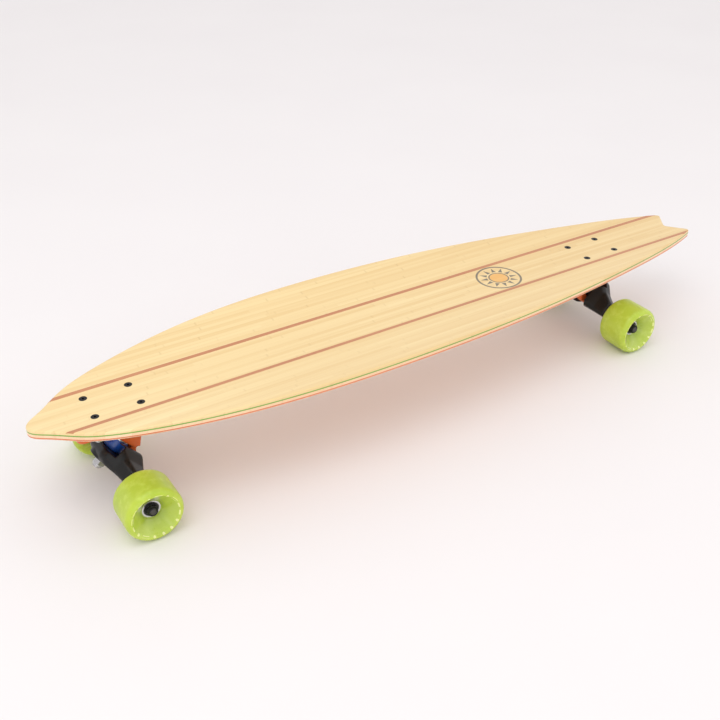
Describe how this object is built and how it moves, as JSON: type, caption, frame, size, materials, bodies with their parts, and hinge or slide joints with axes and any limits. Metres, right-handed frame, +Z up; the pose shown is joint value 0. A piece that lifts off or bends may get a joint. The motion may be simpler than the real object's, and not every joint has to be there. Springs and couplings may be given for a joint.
{
  "type": "longboard skateboard",
  "caption": "Fish-tail laminated bamboo longboard with inlaid stringers, reverse-kingpin steering trucks and soft lime wheels on ball bearings.",
  "frame": {"origin": "on the ground, on the centreline, halfway between the nose tip and the tail tips", "axes": "+X towards the nose along the deck, +Y to the left side, +Z up"},
  "size_m": [1.011, 0.2375, 0.1349],
  "materials": {
    "bamboo_face": "clear lacquer",
    "stringer_wood": "clear lacquer",
    "green_veneer": "clear lacquer",
    "bamboo_core": "clear lacquer",
    "red_veneer": "clear lacquer",
    "bamboo_back": "clear lacquer",
    "riser_rubber": "matt",
    "baseplate_paint": "gloss powder coat",
    "cup_urethane": "satin",
    "bright_steel": "zinc plated",
    "black_steel": "black oxide",
    "bushing_urethane": "satin",
    "hanger_paint": "semi-gloss black",
    "bearing_steel": "ground",
    "wheel_urethane": "satin, translucent",
    "shield_black": "satin"
  },
  "bodies": {
    "root": {"top_ply": "bamboo_face", "stringers": "stringer_wood", "green_ply": "green_veneer", "core_ply": "bamboo_core", "red_ply": "red_veneer", "bottom_ply": "bamboo_back", "front_riser_pad": "riser_rubber", "front_baseplate": "baseplate_paint", "front_pivot_cup": "cup_urethane", "front_kingpin": "bright_steel", "front_kingpin_nut": "bright_steel", "front_board_washer": "bright_steel", "front_board_bushing": "bushing_urethane", "front_road_bushing": "bushing_urethane", "front_road_washer": "bright_steel", "front_deck_bolts": "black_steel", "front_deck_nuts": "bright_steel", "rear_riser_pad": "riser_rubber", "rear_baseplate": "baseplate_paint", "rear_pivot_cup": "cup_urethane", "rear_kingpin": "bright_steel", "rear_kingpin_nut": "bright_steel", "rear_board_washer": "bright_steel", "rear_board_bushing": "bushing_urethane", "rear_road_bushing": "bushing_urethane", "rear_road_washer": "bright_steel", "rear_deck_bolts": "black_steel", "rear_deck_nuts": "bright_steel"},
    "front_hanger": {"front_hanger": "hanger_paint", "front_stub_axles": "bright_steel", "front_speed_washers": "bright_steel", "front_bearing_spacers": "bright_steel", "front_bearing_inner_races": "bearing_steel", "front_axle_nuts": "black_steel"},
    "front_left_wheel": {"front_left_wheel": "wheel_urethane", "front_left_bearing_outer_races": "bearing_steel", "front_left_bearing_shields": "shield_black", "front_left_bearing_balls": "bearing_steel"},
    "front_right_wheel": {"front_right_wheel": "wheel_urethane", "front_right_bearing_outer_races": "bearing_steel", "front_right_bearing_shields": "shield_black", "front_right_bearing_balls": "bearing_steel"},
    "rear_hanger": {"rear_hanger": "hanger_paint", "rear_stub_axles": "bright_steel", "rear_speed_washers": "bright_steel", "rear_bearing_spacers": "bright_steel", "rear_bearing_inner_races": "bearing_steel", "rear_axle_nuts": "black_steel"},
    "rear_left_wheel": {"rear_left_wheel": "wheel_urethane", "rear_left_bearing_outer_races": "bearing_steel", "rear_left_bearing_shields": "shield_black", "rear_left_bearing_balls": "bearing_steel"},
    "rear_right_wheel": {"rear_right_wheel": "wheel_urethane", "rear_right_bearing_outer_races": "bearing_steel", "rear_right_bearing_shields": "shield_black", "rear_right_bearing_balls": "bearing_steel"}
  },
  "joints": [
    {"name": "front_steer", "type": "hinge", "parent": "root", "child": "front_hanger", "pos_m": [0.40724, 0, 0.03707], "axis": [0.6428, 0, 0.766], "range_deg": [-12, 12], "stiffness_Nm_per_rad": 120, "deforming": ["front_board_bushing", "front_road_bushing"]},
    {"name": "front_left_spin", "type": "hinge", "parent": "front_hanger", "child": "front_left_wheel", "pos_m": [0.4103, 0.0897, 0.0345], "axis": [0, 1, 0], "continuous": true},
    {"name": "front_right_spin", "type": "hinge", "parent": "front_hanger", "child": "front_right_wheel", "pos_m": [0.4103, -0.0897, 0.0345], "axis": [0, 1, 0], "continuous": true},
    {"name": "rear_steer", "type": "hinge", "parent": "root", "child": "rear_hanger", "pos_m": [-0.33024, 0, 0.03707], "axis": [-0.6428, 0, 0.766], "range_deg": [-12, 12], "stiffness_Nm_per_rad": 120, "deforming": ["rear_board_bushing", "rear_road_bushing"]},
    {"name": "rear_left_spin", "type": "hinge", "parent": "rear_hanger", "child": "rear_left_wheel", "pos_m": [-0.3333, 0.0897, 0.0345], "axis": [0, 1, 0], "continuous": true},
    {"name": "rear_right_spin", "type": "hinge", "parent": "rear_hanger", "child": "rear_right_wheel", "pos_m": [-0.3333, -0.0897, 0.0345], "axis": [0, 1, 0], "continuous": true}
  ]
}
